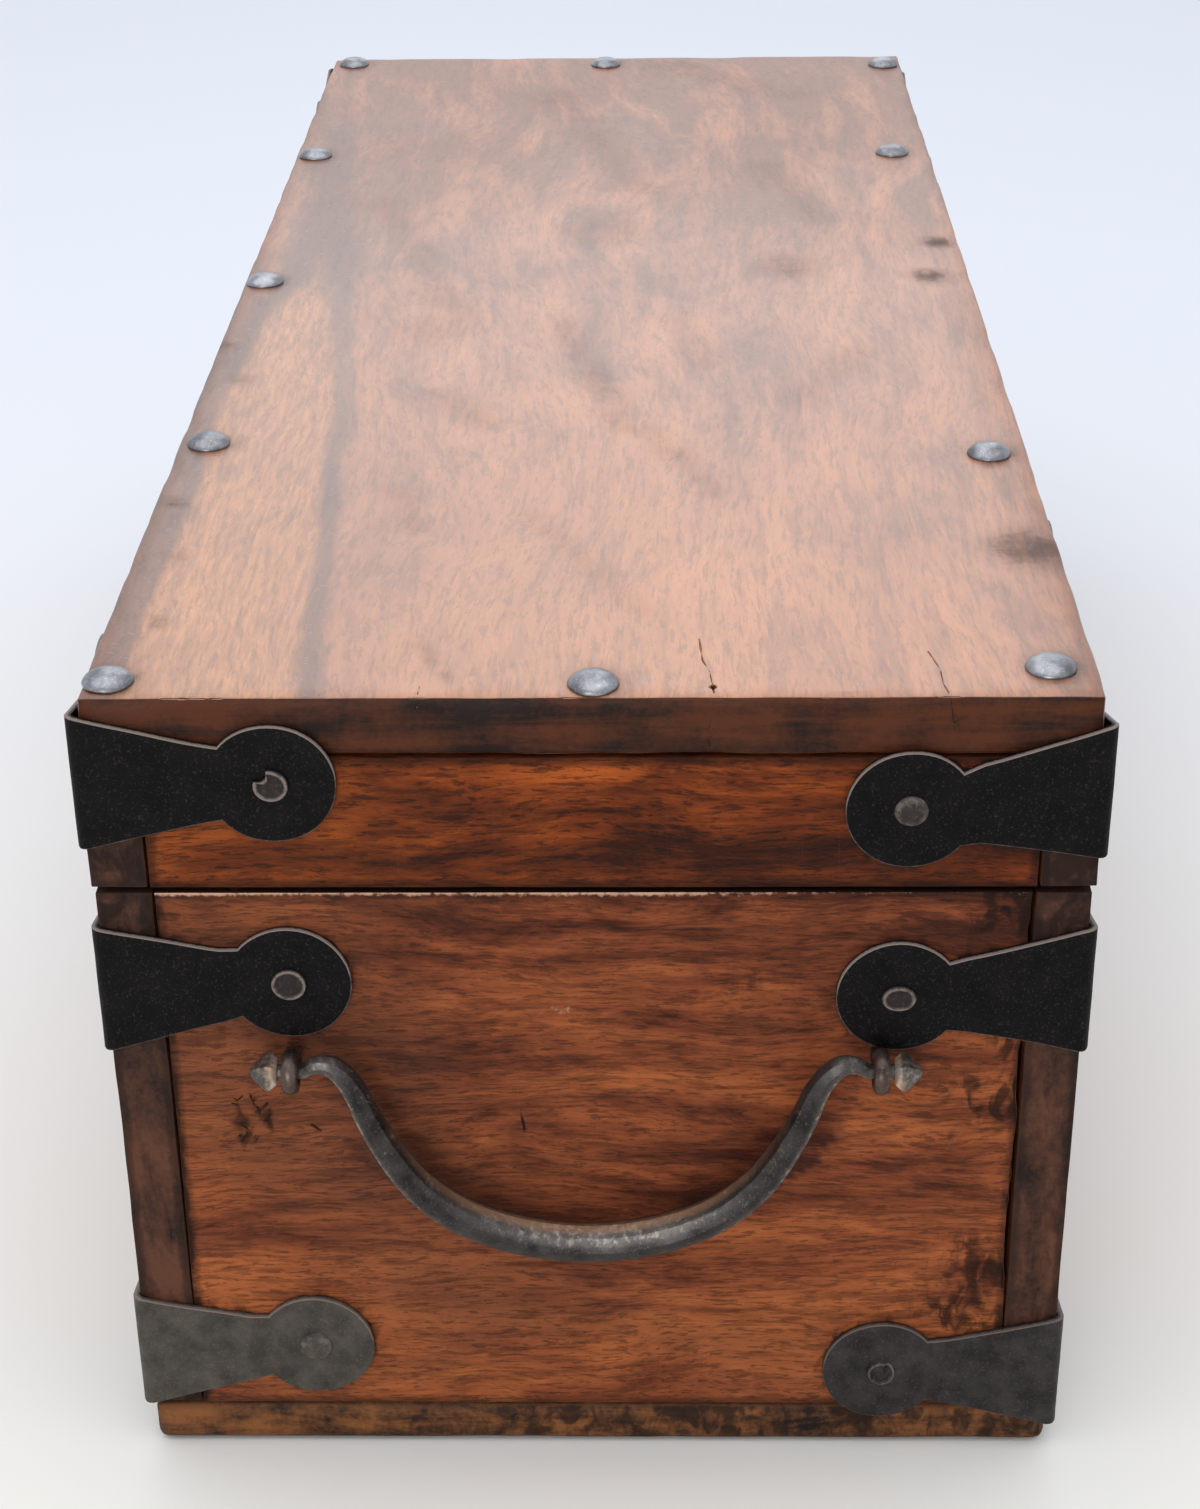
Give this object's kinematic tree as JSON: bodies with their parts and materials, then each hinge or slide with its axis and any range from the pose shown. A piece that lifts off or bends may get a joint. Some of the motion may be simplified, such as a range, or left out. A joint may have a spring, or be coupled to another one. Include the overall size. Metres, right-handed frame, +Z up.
{
  "type": "lidded storage chest",
  "caption": "Low wooden storage chest with a lifting lid on strap hinges, keyhole corner straps, a front hasp and a swinging forged drop handle at each end.",
  "frame": {"origin": "centre of the underside of the bottom board, where the chest stands", "axes": "+X along the length towards the right-hand end, which is the end in the picture; -Y is the front with the hasp, +Y the back with the hinges, +Z up"},
  "size_m": [0.5298, 0.2412, 0.1911],
  "materials": {
    "lid_wood": "old waxed rosewood, hazy and worn, warm brown with darker figure",
    "case_wood": "old waxed rosewood, deep red brown with short dark pores and grime",
    "strap_iron": "blackened wrought iron strip, satin, worn bright on its edges",
    "nail_iron": "grey worn iron, semi-bright domes",
    "forged_iron": "hand forged iron, dark, polished by use with brown rust in the low spots"
  },
  "bodies": {
    "box": {"bottom_board": "case_wood", "front_board": "case_wood", "back_board": "case_wood", "right_end_board": "case_wood", "left_end_board": "case_wood", "upper_strap_front_right": "strap_iron", "upper_strap_back_right": "strap_iron", "upper_strap_front_left": "strap_iron", "upper_strap_back_left": "strap_iron", "lower_strap_front_right": "strap_iron", "lower_strap_back_right": "strap_iron", "lower_strap_front_left": "strap_iron", "lower_strap_back_left": "strap_iron", "right_handle_eye_front": "forged_iron", "right_handle_eye_back": "forged_iron", "left_handle_eye_front": "forged_iron", "left_handle_eye_back": "forged_iron", "hasp_staple": "forged_iron", "bottom_nail_front_1": "nail_iron", "bottom_nail_front_2": "nail_iron", "bottom_nail_front_3": "nail_iron", "bottom_nail_back_1": "nail_iron", "bottom_nail_back_2": "nail_iron", "bottom_nail_back_3": "nail_iron", "bottom_nail_right": "nail_iron", "bottom_nail_left": "nail_iron", "hinge_box_leaf_right": "strap_iron", "hinge_box_leaf_left": "strap_iron", "hinge_pin_right": "forged_iron", "hinge_pin_left": "forged_iron"},
    "lid": {"lid_top_board": "lid_wood", "lid_front_rail": "case_wood", "lid_back_rail": "case_wood", "lid_right_rail": "case_wood", "lid_left_rail": "case_wood", "lid_strap_front_right": "strap_iron", "lid_strap_back_right": "strap_iron", "lid_strap_front_left": "strap_iron", "lid_strap_back_left": "strap_iron", "lid_nail_front_1": "nail_iron", "lid_nail_front_2": "nail_iron", "lid_nail_front_3": "nail_iron", "lid_nail_front_4": "nail_iron", "lid_nail_front_5": "nail_iron", "lid_nail_back_1": "nail_iron", "lid_nail_back_2": "nail_iron", "lid_nail_back_3": "nail_iron", "lid_nail_back_4": "nail_iron", "lid_nail_end_1": "nail_iron", "lid_nail_end_2": "nail_iron", "hinge_lid_leaf_right": "strap_iron", "hinge_lid_leaf_left": "strap_iron", "hasp_hanger": "strap_iron", "hasp_pin": "forged_iron"},
    "hasp": {"hasp_strap": "strap_iron"},
    "right_handle": {"right_handle": "forged_iron"},
    "left_handle": {"left_handle": "forged_iron"}
  },
  "joints": [
    {"name": "lid_hinge", "type": "hinge", "parent": "box", "child": "lid", "pos_m": [0, 0.10555, 0.145], "axis": [-1, 0, 0], "range_deg": [0, 180]},
    {"name": "hasp_hinge", "type": "hinge", "parent": "lid", "child": "hasp", "pos_m": [0.011, -0.10515, 0.151], "axis": [-1, 0, 0], "range_deg": [-23, 135]},
    {"name": "right_handle_swing", "type": "hinge", "parent": "box", "child": "right_handle", "pos_m": [0.26, -0.0018, 0.1058], "axis": [0, -1, 0], "range_deg": [-2.5, 172]},
    {"name": "left_handle_swing", "type": "hinge", "parent": "box", "child": "left_handle", "pos_m": [-0.26, 0.0018, 0.1058], "axis": [0, 1, 0], "range_deg": [-2.5, 172]}
  ]
}
